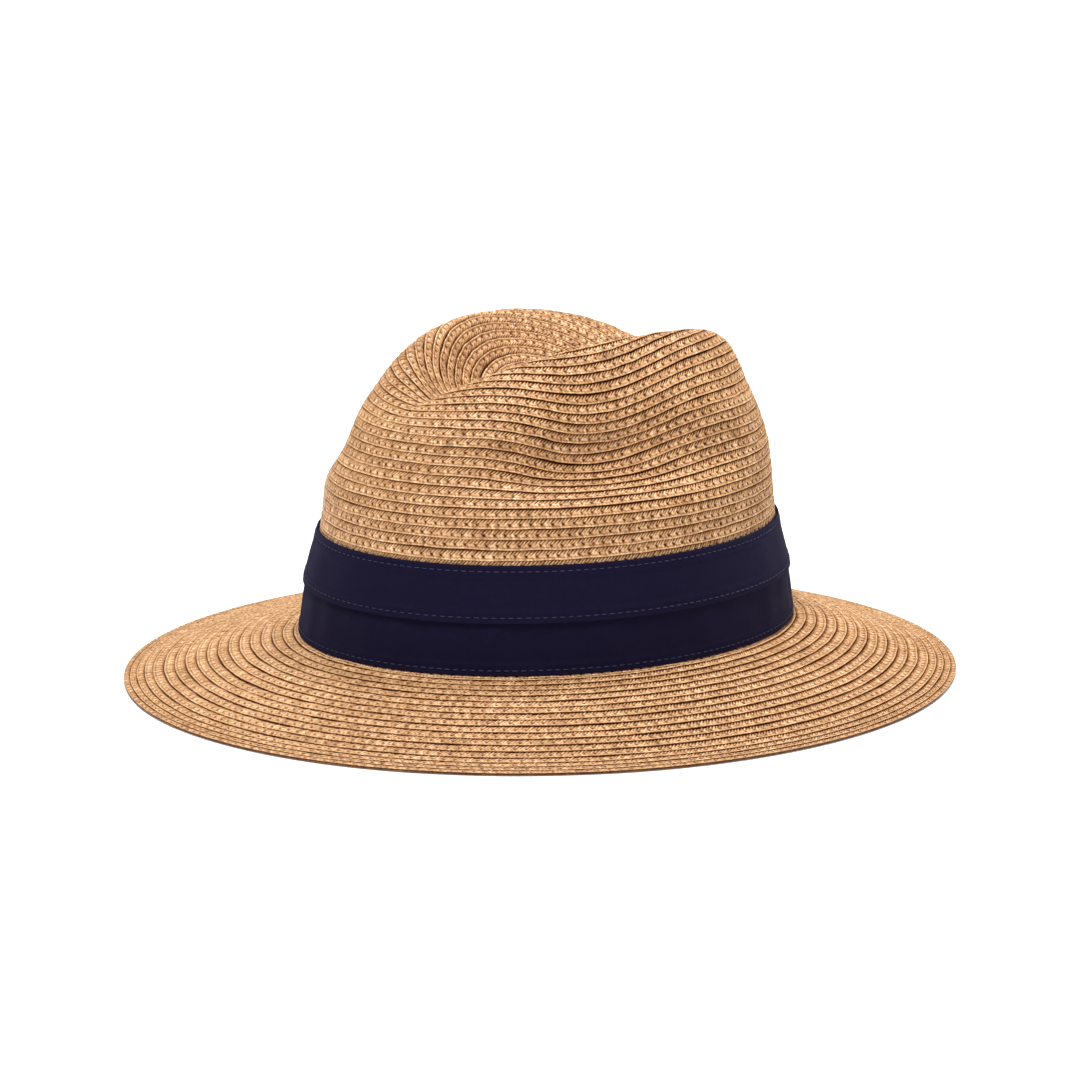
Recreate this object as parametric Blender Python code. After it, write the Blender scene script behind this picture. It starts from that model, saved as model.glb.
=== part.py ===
"""A creased straw fedora: braid crown and brim, wired edge, two-tier cloth band and sweatband.

Units are millimetres, turned into metres where a mesh is made. +Z is up, the hat's front faces -Y,
and the brim rests on z = 0. The origin is within 3 mm of the point under the brim's middle.
Angles run round the hat from its front: 0 is the front, 90 is +X (the wearer's left), 180 the back.
"""

import math

import bmesh
import bpy
from mathutils import Vector

MM = 0.001
PATCH_CUTS = 4
STEPS = 64  # every piece that goes round the hat is cut at the same angles, so none cuts another
GAP = 0.3  # between pieces that touch on the real hat

# Brim: an oval plate that leaves the break line nearly flat, dips and eases off again at its edge.
BRIM_HALF_WIDTH = 158.0
BRIM_HALF_LENGTH = 166.7
EDGE_CENTRE = (2.0, -1.7)
BRIM_THICK = 0.65
BREAK_HEIGHT = 18.2
EDGE_HEIGHT = 1.35
BRIM_FALL = (0.39, 1.515, -0.905)  # the share that has fallen, as f, f squared and f cubed; they add up to 1
BRIM_CUTS = 7

# Crown: ovals from the break line up to the ridge, then down the crease to the middle.
CROWN_CENTRE_Y = 2.7
CROWN_THICK = 1.8
CROWN_LEAN = 4.5  # the blocked top sits this far towards +X
CROWN_CUTS = 24
PINCH_ANGLE, PINCH_SPREAD, PINCH_POWER = 70.0, 29.0, 2.5
FRONT_SPREAD, FRONT_POWER = 40.0, 1.5
BACK_SPREAD = 44.0
RIDGE_NARROWING = 0.32
RIDGE_SKEW = 1.9  # how much lower the ridge is front left and back right than front right and back left
# half width, half length, centre y, height, share of the lean, pinch depth,
# drop at the front, drop at the back
CROWN_RINGS = (
    (87.0, 102.4, 0.5, 18.5, 0.00, 0.0, 0.0, 0.0),
    (84.4, 99.5, 0.8, 38.0, 0.00, 0.0, 0.0, 0.0),
    (80.4, 95.0, 1.2, 59.0, 0.00, 0.0, 0.0, 0.0),
    (78.0, 92.7, 1.5, 79.0, 0.12, 1.0, 0.0, 0.0),
    (75.2, 89.0, 2.3, 92.0, 0.30, 19.0, 1.0, 1.0),
    (68.6, 79.6, 2.0, 112.0, 0.65, 14.0, 4.5, 3.0),
    (46.0, 72.5, 5.0, 136.8, 1.00, 5.5, 23.5, 26.0),
    (18.5, 38.0, -2.8, 114.4, 1.00, 0.0, 4.6, 4.6),
    (2.0, 6.0, -2.8, 108.0, 1.00, 0.0, 0.0, 0.0),
)
RIDGE_RING = 6
WALL_RING = 7
BREAK_OVAL = CROWN_RINGS[0][:2]
BAND_OVAL = CROWN_RINGS[1][:2]
FINE_CUTS = 200  # straight bits that a meridian is measured in
HEIGHT_STEP = 0.02  # share of the way from one ring to the next, in the search for a height

# Hat band: an upper tier that laps over a lower tier, both strips with their ends at the back.
BAND_LOW = 18.4
BAND_TOP = 59.0
LOWER_TIER_TOP = 41.0
UPPER_TIER_LOW = 38.0
CLOTH_THICK = 0.7
STRIP_CUTS = 2
STRIP_END_GAP = 0.8
BAND_STITCH_INSET = 2.2
TAB_WIDTH = 13.0
TAB_INSET = 0.4
THREAD_RADIUS = 0.22
THREAD_SIDES = 3

# Edge: a braid row turned flat under the brim, with a wire between the two near its inner side.
EDGE_BRAID_WIDTH = 9.0
EDGE_BRAID_THICK = 0.4
WIRE_INSET = 7.0
WIRE_RADIUS = 0.35
WIRE_END_GAP = 1.0
WIRE_SIDES = 6
SLEEVE_INNER_RADIUS = 0.42
SLEEVE_OUTER_RADIUS = 0.52
SLEEVE_LENGTH = 12.0
SLEEVE_SIDES = 12
EDGE_STITCH_INSET = 4.0

# Sweatband: a ribbon inside the crown, with a tape over its join and a blank size label.
SWEAT_LOW = 19.0
SWEAT_TOP = 51.0
SWEAT_THICK = 0.8
SWEAT_STITCH_RISE = 2.5
TAPE_WIDTH = 10.0
TAPE_THICK = 0.5
TAPE_INSET = 0.5
LABEL_WIDTH = 16.0
LABEL_THICK = 0.4
LABEL_LOW = 27.0
LABEL_TOP = 40.0
LABEL_ANGLE = 196.0

STRAW = (0.56, 0.33, 0.17)
NAVY = (0.013, 0.011, 0.033)
NAVY_THREAD = (0.045, 0.05, 0.13)
COTTON = (0.62, 0.53, 0.40)
STEEL = (0.55, 0.55, 0.56)
WHITE_TAPE = (0.78, 0.76, 0.72)


def clear_scene():
    for old in list(bpy.data.objects):
        bpy.data.objects.remove(old, do_unlink=True)


def material(name, colour, roughness, metallic=0.0):
    made = bpy.data.materials.new(name)
    made.use_nodes = True
    shader = made.node_tree.nodes["Principled BSDF"]
    shader.inputs["Base Color"].default_value = (*colour, 1.0)
    shader.inputs["Roughness"].default_value = roughness
    shader.inputs["Metallic"].default_value = metallic
    return made


def add_object(name, mesh_builder, surface):
    """Makes one closed, outward-facing object from points in millimetres."""
    bmesh.ops.recalc_face_normals(mesh_builder, faces=mesh_builder.faces)
    bmesh.ops.triangulate(mesh_builder, faces=mesh_builder.faces)
    bmesh.ops.scale(mesh_builder, vec=(MM, MM, MM), verts=mesh_builder.verts)
    mesh = bpy.data.meshes.new(name)
    mesh_builder.to_mesh(mesh)
    mesh_builder.free()
    mesh.materials.append(surface)
    made = bpy.data.objects.new(name, mesh)
    bpy.context.scene.collection.objects.link(made)
    return made


def loops_to_solid(name, loops, surface, closed_round=True):
    """Skins a list of equal closed sections. The last joins the first, or else both ends are capped."""
    builder = bmesh.new()
    rows = [[builder.verts.new(point) for point in loop] for loop in loops]
    following = rows[1:] + rows[:1] if closed_round else rows[1:]
    for row, after in zip(rows, following):
        for k in range(len(row)):
            n = (k + 1) % len(row)
            builder.faces.new((row[k], row[n], after[n], after[k]))
    if not closed_round:
        builder.faces.new(rows[0])
        builder.faces.new(list(reversed(rows[-1])))
    return add_object(name, builder, surface)


def bump(angle, centre, spread, power=2.0):
    """1 at centre, falling smoothly to 0 over about two spreads, all in degrees."""
    away = (angle - centre + 180.0) % 360.0 - 180.0
    return math.exp(-(abs(away / spread) ** power))


def oval_normal(angle, half_width, half_length):
    turn = math.radians(angle)
    return Vector((math.sin(turn) / half_width, -math.cos(turn) / half_length, 0.0)).normalized()


def crown_keys(angle):
    """The points that one meridian of the crown passes through, from the break line to the middle."""
    turn = math.radians(angle)
    side, ahead = math.sin(turn), math.cos(turn)
    front = bump(angle, 0.0, FRONT_SPREAD, FRONT_POWER)
    back = bump(angle, 180.0, BACK_SPREAD)
    pinch = sum(bump(angle, centre, PINCH_SPREAD, PINCH_POWER) for centre in (PINCH_ANGLE, -PINCH_ANGLE))
    keys = []
    for index, ring in enumerate(CROWN_RINGS):
        half_width, half_length, centre_y, height, lean, depth, front_drop, back_drop = ring
        if index == RIDGE_RING:
            half_width *= 1.0 - RIDGE_NARROWING * front
            height -= RIDGE_SKEW * 2.0 * side * ahead
        if index == WALL_RING:
            height -= front_drop * (ahead * ahead - side * side)
        else:
            height -= front_drop * front + back_drop * back
        x = CROWN_LEAN * lean + half_width * side - depth * pinch * side
        y = CROWN_CENTRE_Y + centre_y - half_length * ahead + depth * pinch * ahead
        keys.append(Vector((x, y, height)))
    return keys


def through_keys(keys, place):
    """A smooth curve through the keys; place 2.5 is halfway from the third key to the fourth."""
    last = len(keys) - 2
    index = min(int(place), last)
    share = place - index
    start, end = keys[index], keys[index + 1]
    before = keys[index - 1] if index else start * 2 - end
    after = keys[index + 2] if index < last else end * 2 - start
    span_before = math.sqrt((start - before).length)
    span = math.sqrt((end - start).length)
    span_after = math.sqrt((after - end).length)
    slope = (end - start) / span
    leave = ((start - before) / span_before - (end - before) / (span_before + span) + slope) * span
    arrive = (slope - (after - start) / (span + span_after) + (after - end) / span_after) * span
    square, cube = share * share, share * share * share
    return (
        (2 * cube - 3 * square + 1) * start
        + (cube - 2 * square + share) * leave
        + (3 * square - 2 * cube) * end
        + (cube - square) * arrive
    )


def crown_meridian(angle, cuts):
    """Points at equal distances along one meridian, as the rows of braid are spaced."""
    keys = crown_keys(angle)
    fine = [through_keys(keys, (len(keys) - 1) * k / FINE_CUTS) for k in range(FINE_CUTS + 1)]
    lengths = [0.0]
    for a, b in zip(fine, fine[1:]):
        lengths.append(lengths[-1] + (b - a).length)
    points, k = [], 0
    for cut in range(cuts + 1):
        wanted = lengths[-1] * cut / cuts
        while k < len(fine) - 2 and lengths[k + 1] < wanted:
            k += 1
        share = (wanted - lengths[k]) / (lengths[k + 1] - lengths[k])
        points.append(fine[k].lerp(fine[k + 1], share))
    return points


def wall_point(angle, height, outwards):
    """A point on the lower crown wall at this height, moved straight out from it."""
    keys = crown_keys(angle)
    place = 0.0
    while through_keys(keys, place + HEIGHT_STEP).z < height:
        place += HEIGHT_STEP
    low, high = through_keys(keys, place), through_keys(keys, place + HEIGHT_STEP)
    point = low.lerp(high, (height - low.z) / (high.z - low.z))
    return point + oval_normal(angle, *BAND_OVAL) * outwards


def around():
    return [360.0 * k / STEPS for k in range(STEPS)]


def strip_angles(end_gap):
    """Angles for a strip that goes once round with its two ends facing each other at the back."""
    half = math.degrees(end_gap / 2 / BAND_OVAL[1])
    inner = [360.0 * k / STEPS for k in range(STEPS // 2 + 1, STEPS + STEPS // 2)]
    return [180.0 + half] + inner + [540.0 - half]


def build_crown(straw):
    meridians = [crown_meridian(angle, CROWN_CUTS) for angle in around()]
    builder = bmesh.new()
    outer = [[builder.verts.new(point) for point in line] for line in meridians]
    inner = []
    for k, line in enumerate(meridians):
        row = []
        for cut, point in enumerate(line):
            up = line[min(cut + 1, CROWN_CUTS)] - line[max(cut - 1, 0)]
            along = meridians[(k + 1) % STEPS][cut] - meridians[k - 1][cut]
            normal = along.cross(up).normalized()
            if cut == 0:
                normal = Vector((normal.x, normal.y, 0.0)).normalized()
            if cut == CROWN_CUTS:
                normal = Vector((0.0, 0.0, 1.0))
            row.append(builder.verts.new(point - normal * CROWN_THICK))
        inner.append(row)
    for k in range(STEPS):
        n = (k + 1) % STEPS
        for cut in range(CROWN_CUTS):
            builder.faces.new((outer[k][cut], outer[n][cut], outer[n][cut + 1], outer[k][cut + 1]))
            builder.faces.new((inner[k][cut], inner[k][cut + 1], inner[n][cut + 1], inner[n][cut]))
        builder.faces.new((outer[k][0], inner[k][0], inner[n][0], outer[n][0]))
    builder.faces.new([row[-1] for row in outer])
    builder.faces.new([row[-1] for row in reversed(inner)])
    return add_object("crown_braid", builder, straw)


def brim_point(angle, share):
    """A point on the brim's upper face; share is 0 at the break line and 1 at the edge."""
    turn = math.radians(angle)
    inner_width, inner_length = BREAK_OVAL[0] - CROWN_THICK, BREAK_OVAL[1] - CROWN_THICK
    half_width = inner_width + (BRIM_HALF_WIDTH - inner_width) * share
    half_length = inner_length + (BRIM_HALF_LENGTH - inner_length) * share
    fallen = sum(term * share ** (power + 1) for power, term in enumerate(BRIM_FALL))
    height = BREAK_HEIGHT - (BREAK_HEIGHT - EDGE_HEIGHT) * fallen
    centre_x = EDGE_CENTRE[0] * share
    centre_y = CROWN_CENTRE_Y + (EDGE_CENTRE[1] - CROWN_CENTRE_Y) * share
    return Vector((centre_x + half_width * math.sin(turn), centre_y - half_length * math.cos(turn), height))


def inset_share(inset):
    """The brim_point share of a line this far in from the rim, at the narrower sides of the oval."""
    return 1.0 - inset / (BRIM_HALF_WIDTH - BREAK_OVAL[0] + CROWN_THICK)


def edge_point(angle, inset, height):
    """A point this far in from the brim's rim, at a height over the table."""
    turn = math.radians(angle)
    x, y = BRIM_HALF_WIDTH * math.sin(turn), -BRIM_HALF_LENGTH * math.cos(turn)
    rim = Vector((EDGE_CENTRE[0] + x, EDGE_CENTRE[1] + y, height))
    return rim - oval_normal(angle, BRIM_HALF_WIDTH, BRIM_HALF_LENGTH) * inset


def build_brim(straw):
    down = Vector((0.0, 0.0, BRIM_THICK))
    shares = [k / BRIM_CUTS for k in range(BRIM_CUTS + 1)]
    loops = []
    for angle in around():
        top = [brim_point(angle, share) for share in shares]
        loops.append(top + [point - down for point in reversed(top)])
    return loops_to_solid("brim_braid", loops, straw)


def build_edge_braid(straw):
    section = (
        (0.0, 0.0),
        (EDGE_BRAID_WIDTH, 0.0),
        (EDGE_BRAID_WIDTH, EDGE_BRAID_THICK),
        (0.0, EDGE_BRAID_THICK),
    )
    loops = [[edge_point(angle, inset, height) for inset, height in section] for angle in around()]
    return loops_to_solid("brim_edge_braid", loops, straw)


def ring_section(centre, out, radius, sides):
    """A polygon round centre, standing in the plane of out and the vertical."""
    turns = [2 * math.pi * k / sides for k in range(sides)]
    return [centre + out * (radius * math.cos(t)) + Vector((0, 0, radius * math.sin(t))) for t in turns]


def wire_middle(angle):
    """Halfway between the turned braid and the brim over it."""
    over = brim_point(angle, inset_share(WIRE_INSET)).z - BRIM_THICK
    return edge_point(angle, WIRE_INSET, (EDGE_BRAID_THICK + over) / 2)


def build_wire(steel):
    loops = []
    for angle in strip_angles(WIRE_END_GAP):
        out = oval_normal(angle, BRIM_HALF_WIDTH, BRIM_HALF_LENGTH)
        loops.append(ring_section(wire_middle(angle), out, WIRE_RADIUS, WIRE_SIDES))
    return loops_to_solid("brim_edge_wire", loops, steel, closed_round=False)


def build_sleeve(steel):
    """A tube over the wire's two ends, which lies along the wire's own straight stretches there."""
    angles = strip_angles(WIRE_END_GAP)
    ends = [wire_middle(angles[0]), wire_middle(angles[-1])]
    inward = [wire_middle(angles[1]), wire_middle(angles[-2])]
    tips = [end + (way - end).normalized() * (SLEEVE_LENGTH / 2) for end, way in zip(ends, inward)]
    out = oval_normal(180.0, BRIM_HALF_WIDTH, BRIM_HALF_LENGTH)
    centres = [tips[0], ends[0], ends[1], tips[1]]
    outer = [ring_section(centre, out, SLEEVE_OUTER_RADIUS, SLEEVE_SIDES) for centre in centres]
    inner = [ring_section(centre, out, SLEEVE_INNER_RADIUS, SLEEVE_SIDES) for centre in reversed(centres)]
    return loops_to_solid("wire_joint_sleeve", outer + inner, steel)


def strip_section(angle, low, top, inside_low, inside_top, thick):
    """A strip's section at one angle: up its outer face and down its inner face."""
    outer, inner = [], []
    for k in range(STRIP_CUTS + 1):
        share = k / STRIP_CUTS
        height, inside = low + (top - low) * share, inside_low + (inside_top - inside_low) * share
        outer.append(wall_point(angle, height, inside + thick))
        inner.append(wall_point(angle, height, inside))
    return outer + inner[::-1]


def build_strip(name, low, top, inside_low, inside_top, thick, surface):
    """A cloth strip round the crown wall, standing off it by inside_low and inside_top at its edges."""
    section = (low, top, inside_low, inside_top, thick)
    loops = [strip_section(angle, *section) for angle in strip_angles(STRIP_END_GAP)]
    return loops_to_solid(name, loops, surface, closed_round=False)


def build_patch(name, middle, width, low, top, inside_low, inside_top, thick, surface):
    """A small piece lying against the wall, width wide round the hat."""
    half = math.degrees(width / 2 / BAND_OVAL[1])
    angles = [middle - half + 2 * half * k / PATCH_CUTS for k in range(PATCH_CUTS + 1)]
    loops = [strip_section(angle, low, top, inside_low, inside_top, thick) for angle in angles]
    return loops_to_solid(name, loops, surface, closed_round=False)


def build_wall_thread(name, height, outwards, surface):
    """A line of stitching round the crown wall."""
    loops = []
    for angle in around():
        out = oval_normal(angle, *BAND_OVAL)
        centre = wall_point(angle, height, outwards)
        loops.append(ring_section(centre, out, THREAD_RADIUS, THREAD_SIDES))
    return loops_to_solid(name, loops, surface)


def build_edge_thread(name, surface):
    """The line of stitching that holds the turned edge, on the brim's upper face."""
    loops = []
    for angle in around():
        out = oval_normal(angle, BRIM_HALF_WIDTH, BRIM_HALF_LENGTH)
        centre = brim_point(angle, inset_share(EDGE_STITCH_INSET)) + Vector((0.0, 0.0, GAP + THREAD_RADIUS))
        loops.append(ring_section(centre, out, THREAD_RADIUS, THREAD_SIDES))
    return loops_to_solid(name, loops, surface)


def upper_face(height):
    """How far the upper tier's outer face stands off the crown: it laps over the lower tier at its foot."""
    share = (height - UPPER_TIER_LOW) / (BAND_TOP - UPPER_TIER_LOW)
    foot = GAP + CLOTH_THICK + GAP
    return foot + (GAP - foot) * share + CLOTH_THICK


def build_band(navy, thread):
    lower_face = GAP + CLOTH_THICK
    foot, head = upper_face(UPPER_TIER_LOW) - CLOTH_THICK, upper_face(BAND_TOP) - CLOTH_THICK
    build_strip("hat_band_lower", BAND_LOW, LOWER_TIER_TOP, GAP, GAP, CLOTH_THICK, navy)
    build_strip("hat_band_upper", UPPER_TIER_LOW, BAND_TOP, foot, head, CLOTH_THICK, navy)
    lift = GAP / 2 + THREAD_RADIUS
    middle, top = UPPER_TIER_LOW + BAND_STITCH_INSET, BAND_TOP - BAND_STITCH_INSET
    build_wall_thread("band_bottom_stitching", BAND_LOW + BAND_STITCH_INSET, lower_face + lift, thread)
    build_wall_thread("band_middle_stitching", middle, upper_face(middle) + lift, thread)
    build_wall_thread("band_top_stitching", top, upper_face(top) + lift, thread)
    over = upper_face(UPPER_TIER_LOW) + lift * 2 + GAP
    tab_low, tab_top = BAND_LOW + TAB_INSET, BAND_TOP - TAB_INSET
    build_patch("band_join_tab", 180.0, TAB_WIDTH, tab_low, tab_top, over, over, CLOTH_THICK, navy)


def build_sweatband(cotton, thread, tape):
    face = -CROWN_THICK - GAP - SWEAT_THICK
    lift = GAP / 2 + THREAD_RADIUS
    build_strip("sweatband", SWEAT_LOW, SWEAT_TOP, face, face, SWEAT_THICK, cotton)
    build_wall_thread("sweatband_stitching", SWEAT_LOW + SWEAT_STITCH_RISE, face - lift, thread)
    behind = face - lift * 2 - GAP - TAPE_THICK
    low, top = SWEAT_LOW + TAPE_INSET, SWEAT_TOP - TAPE_INSET
    build_patch("sweatband_join_tape", 180.0, TAPE_WIDTH, low, top, behind, behind, TAPE_THICK, cotton)
    inner = face - GAP - LABEL_THICK
    build_patch("size_label", LABEL_ANGLE, LABEL_WIDTH, LABEL_LOW, LABEL_TOP, inner, inner, LABEL_THICK, tape)


def main():
    clear_scene()
    straw = material("straw_braid", STRAW, 0.75)
    navy = material("navy_cloth", NAVY, 0.85)
    navy_thread = material("navy_thread", NAVY_THREAD, 0.7)
    straw_thread = material("straw_thread", STRAW, 0.6)
    cotton = material("sweatband_cotton", COTTON, 0.9)
    tape = material("label_tape", WHITE_TAPE, 0.8)
    steel = material("edge_wire_steel", STEEL, 0.35, 1.0)
    build_crown(straw)
    build_brim(straw)
    build_edge_braid(straw)
    build_wire(steel)
    build_sleeve(steel)
    build_edge_thread("brim_edge_stitching", straw_thread)
    build_band(navy, navy_thread)
    build_sweatband(cotton, straw_thread, tape)


main()
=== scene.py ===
"""The looks of the creased straw fedora: real sewn braid rows, a two-tier cloth band, thread and a sweatband.

Lengths are in millimetres until a mesh is made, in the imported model's frame: +Z up, the hat's front
faces -Y, and angles run round the hat from its front (0), over +X (90), to its back (180).
"""

import math

import bpy
import numpy as np
from mathutils import Matrix, Vector


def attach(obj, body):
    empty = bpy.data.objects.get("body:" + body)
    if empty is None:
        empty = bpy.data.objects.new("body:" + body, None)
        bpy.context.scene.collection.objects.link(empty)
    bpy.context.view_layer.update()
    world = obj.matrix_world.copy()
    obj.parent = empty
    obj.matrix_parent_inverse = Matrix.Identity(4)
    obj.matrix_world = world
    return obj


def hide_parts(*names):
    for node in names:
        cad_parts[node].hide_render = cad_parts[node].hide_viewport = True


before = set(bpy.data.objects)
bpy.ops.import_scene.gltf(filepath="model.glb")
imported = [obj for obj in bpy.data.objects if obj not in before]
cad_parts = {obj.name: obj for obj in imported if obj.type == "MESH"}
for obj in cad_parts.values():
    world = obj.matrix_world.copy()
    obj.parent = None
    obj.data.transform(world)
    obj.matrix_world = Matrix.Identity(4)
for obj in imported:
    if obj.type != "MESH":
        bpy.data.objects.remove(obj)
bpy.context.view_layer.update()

MM = 0.001
rng = np.random.default_rng(62)

# The hat's form, as part.py has it.
BRIM_HALF_WIDTH, BRIM_HALF_LENGTH = 158.0, 166.7
EDGE_CENTRE = (2.0, -1.7)
BREAK_HEIGHT, EDGE_HEIGHT = 18.2, 1.35
BRIM_FALL = (0.39, 1.515, -0.905)  # the share that has fallen, as f, f squared and f cubed
CENTRE_Y, LEAN = 2.7, 4.5
PINCH_ANGLE, PINCH_SPREAD, PINCH_POWER = 70.0, 29.0, 2.5
FRONT_SPREAD, FRONT_POWER, BACK_SPREAD = 40.0, 1.5, 44.0
RIDGE_NARROWING, RIDGE_SKEW = 0.32, 1.9
WALL_THICK = 1.8
# half width, half length, centre y, height, share of the lean, pinch depth,
# drop at the front, drop at the back
CROWN_RINGS = (
    (87.0, 102.4, 0.5, 18.5, 0.00, 0.0, 0.0, 0.0),
    (84.4, 99.5, 0.8, 38.0, 0.00, 0.0, 0.0, 0.0),
    (80.4, 95.0, 1.2, 59.0, 0.00, 0.0, 0.0, 0.0),
    (78.0, 92.7, 1.5, 79.0, 0.12, 1.0, 0.0, 0.0),
    (75.2, 89.0, 2.3, 92.0, 0.30, 19.0, 1.0, 1.0),
    (68.6, 79.6, 2.0, 112.0, 0.65, 14.0, 4.5, 3.0),
    (46.0, 72.5, 5.0, 136.8, 1.00, 5.5, 23.5, 26.0),
    (18.5, 38.0, -2.8, 114.4, 1.00, 0.0, 4.6, 4.6),
    (2.0, 6.0, -2.8, 108.0, 1.00, 0.0, 0.0, 0.0),
)
RIDGE_RING, WALL_RING = 6, 7
BASE_OVAL = CROWN_RINGS[0][:2]
BAND_OVAL = CROWN_RINGS[1][:2]

BAND_LOW, BAND_TOP = 18.4, 59.0
LOWER_TIER_TOP, UPPER_TIER_LOW = 41.0, 38.0
SWEAT_LOW, SWEAT_TOP = 19.0, 51.0
LABEL_LOW, LABEL_TOP, LABEL_ANGLE = 27.0, 40.0, 196.0
WALL_TOP = 62.0  # a little over the band

TURNS = np.linspace(0.0, 360.0, 1441)  # the angles at which each surface is worked out
FINE_CUTS = 100  # points from one crown ring to the next
CROWN_POINTS, BRIM_POINTS, BEND_POINTS, TURNED_POINTS, WALL_POINTS = 901, 401, 41, 31, 220
CREASE_FROM = 0.42  # the share of the crown's rise from which its rows close up towards the crease
BEND_SHARES = 0.955, 0.03  # where the bend leaves the brim and meets the crown
TURNED_WIDTH, TURNED_HEIGHT = 9.0, 0.42


# ---------------------------------------------------------------- surfaces


def bump(turns, centre, spread, power=2.0):
    """1 at the centre angle, falling to 0 on both sides of it."""
    away = (turns - centre + 180.0) % 360.0 - 180.0
    return np.exp(-np.abs(away / spread) ** power)


def dent(turns, spread):
    """1 in the middle of each side dent, falling to 0 round it."""
    return sum(bump(turns, centre, spread, PINCH_POWER) for centre in (PINCH_ANGLE, -PINCH_ANGLE))


def crown_keys(turns):
    """The crown's rings, each as one point for every angle."""
    side, ahead = np.sin(np.radians(turns)), np.cos(np.radians(turns))
    front, back = bump(turns, 0.0, FRONT_SPREAD, FRONT_POWER), bump(turns, 180.0, BACK_SPREAD)
    pinch = dent(turns, PINCH_SPREAD)
    keys = []
    for index, ring in enumerate(CROWN_RINGS):
        half_width, half_length, centre_y, height, lean, depth, front_drop, back_drop = ring
        if index == RIDGE_RING:
            half_width = half_width * (1.0 - RIDGE_NARROWING * front)
            height = height - RIDGE_SKEW * 2.0 * side * ahead
        if index == WALL_RING:
            high = height - front_drop * (ahead**2 - side**2)
        else:
            high = height - front_drop * front - back_drop * back
        x = LEAN * lean + half_width * side - depth * pinch * side
        y = CENTRE_Y + centre_y - half_length * ahead + depth * pinch * ahead
        keys.append(np.stack([x, y, high + 0 * x], axis=-1))
    return keys


def root_gap(a, b):
    return np.sqrt(np.linalg.norm(b - a, axis=-1))[..., None]


def crown_lines():
    """One fine line of points up each meridian, from the break line to the middle of the crease."""
    keys = crown_keys(TURNS)
    lines = []
    for index in range(len(keys) - 1):
        start, end = keys[index], keys[index + 1]
        before = keys[index - 1] if index else 2 * start - end
        after = keys[index + 2] if index + 2 < len(keys) else 2 * end - start
        d0, d1, d2 = root_gap(before, start), root_gap(start, end), root_gap(end, after)
        leave = ((start - before) / d0 - (end - before) / (d0 + d1) + (end - start) / d1) * d1
        arrive = ((end - start) / d1 - (after - start) / (d1 + d2) + (after - end) / d2) * d1
        for share in np.arange(FINE_CUTS + (index == len(keys) - 2)) / FINE_CUTS:
            square, cube = share**2, share**3
            lines.append(
                (2 * cube - 3 * square + 1) * start
                + (cube - 2 * square + share) * leave
                + (3 * square - 2 * cube) * end
                + (cube - square) * arrive
            )
    return np.stack(lines, axis=1)


def even_out(lines, count, slack_from=None):
    """The same lines with their points at equal distances, and each line's length.

    With slack_from, the distances are the same on every line up to that share, and stretch or close up
    beyond it to fit the line's own length, as the rows of a blocked crown do inside its crease.
    """
    steps = np.linalg.norm(np.diff(lines, axis=1), axis=-1)
    along = np.concatenate([np.zeros((len(lines), 1)), np.cumsum(steps, axis=1)], axis=1)
    out = np.empty((len(lines), count, 3))
    share = np.linspace(0.0, 1.0, count)
    late = share if slack_from is None else np.clip((share - slack_from) / (1.0 - slack_from), 0.0, 1.0)
    late = share if slack_from is None else late * late * (3.0 - 2.0 * late)
    usual = along[:, -1].mean()
    for k, (line, reach) in enumerate(zip(lines, along)):
        wanted = share * usual + late * (reach[-1] - usual)
        for axis in range(3):
            out[k, :, axis] = np.interp(wanted, reach, line[:, axis])
    return out, along[:, -1]


class Surface:
    """A surface known on a grid of turn and rise (0 to 1), with its outward normals."""

    def __init__(self, grid, length):
        self.grid, self.length, self.usual = grid, length, float(np.mean(length))
        body = grid[:-1]
        along = np.roll(body, -1, axis=0) - np.roll(body, 1, axis=0)
        up = np.gradient(body, axis=1)
        normal = np.cross(along, up)
        normal /= np.linalg.norm(normal, axis=-1, keepdims=True)
        self.normal = np.concatenate([normal, normal[:1]])

    def at(self, turns, rise):
        turns, rise = np.broadcast_arrays(turns % 360.0, np.clip(rise, 0.0, 1.0))
        a = turns / 360.0 * (len(self.grid) - 1)
        i = np.minimum(a.astype(int), len(self.grid) - 2)
        b = rise * (self.grid.shape[1] - 1)
        j = np.minimum(b.astype(int), self.grid.shape[1] - 2)
        f, g = (a - i)[..., None], (b - j)[..., None]
        found = []
        for field in (self.grid, self.normal):
            low = field[i, j] * (1 - f) + field[i + 1, j] * f
            high = field[i, j + 1] * (1 - f) + field[i + 1, j + 1] * f
            found.append(low * (1 - g) + high * g)
        return found


def crown_surface():
    return Surface(*even_out(crown_lines(), CROWN_POINTS, slack_from=CREASE_FROM))


def brim_surface():
    """The brim's upper face, whose rise runs from the outer edge in to the break line."""
    share = np.linspace(1.0, 0.0, 301)[None, :]
    turn = np.radians(TURNS)[:, None]
    inner_width, inner_length = BASE_OVAL[0] - WALL_THICK, BASE_OVAL[1] - WALL_THICK
    half_width = inner_width + (BRIM_HALF_WIDTH - inner_width) * share
    half_length = inner_length + (BRIM_HALF_LENGTH - inner_length) * share
    fallen = sum(term * share ** (power + 1) for power, term in enumerate(BRIM_FALL))
    height = BREAK_HEIGHT - (BREAK_HEIGHT - EDGE_HEIGHT) * fallen
    x = EDGE_CENTRE[0] * share + half_width * np.sin(turn)
    y = CENTRE_Y + (EDGE_CENTRE[1] - CENTRE_Y) * share - half_length * np.cos(turn)
    return Surface(*even_out(np.stack([x, y, height + 0 * x], axis=-1), BRIM_POINTS))


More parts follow.
